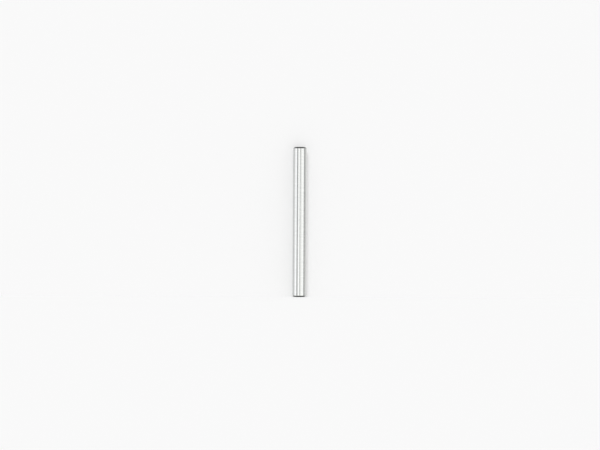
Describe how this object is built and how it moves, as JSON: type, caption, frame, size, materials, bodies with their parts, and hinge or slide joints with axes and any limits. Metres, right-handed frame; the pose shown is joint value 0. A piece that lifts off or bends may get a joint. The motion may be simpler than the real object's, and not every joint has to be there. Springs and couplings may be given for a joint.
{
  "type": "guide pin",
  "caption": "Straight round steel guide pin: a plain ground shank with a lead-in chamfer at each flat end, for locating or guiding one part in another.",
  "frame": {"origin": "centre of the lower end face", "axes": "+Z along the pin's axis, from the lower end face to the upper; the pin is round, so X and Y are any two directions across it"},
  "size_m": [0.0037, 0.0036, 0.0412],
  "materials": {
    "ground_steel": "ground bright along the shank, turned at the chamfers and end faces"
  },
  "bodies": {
    "root": {"guide_pin": "ground_steel"}
  },
  "joints": []
}
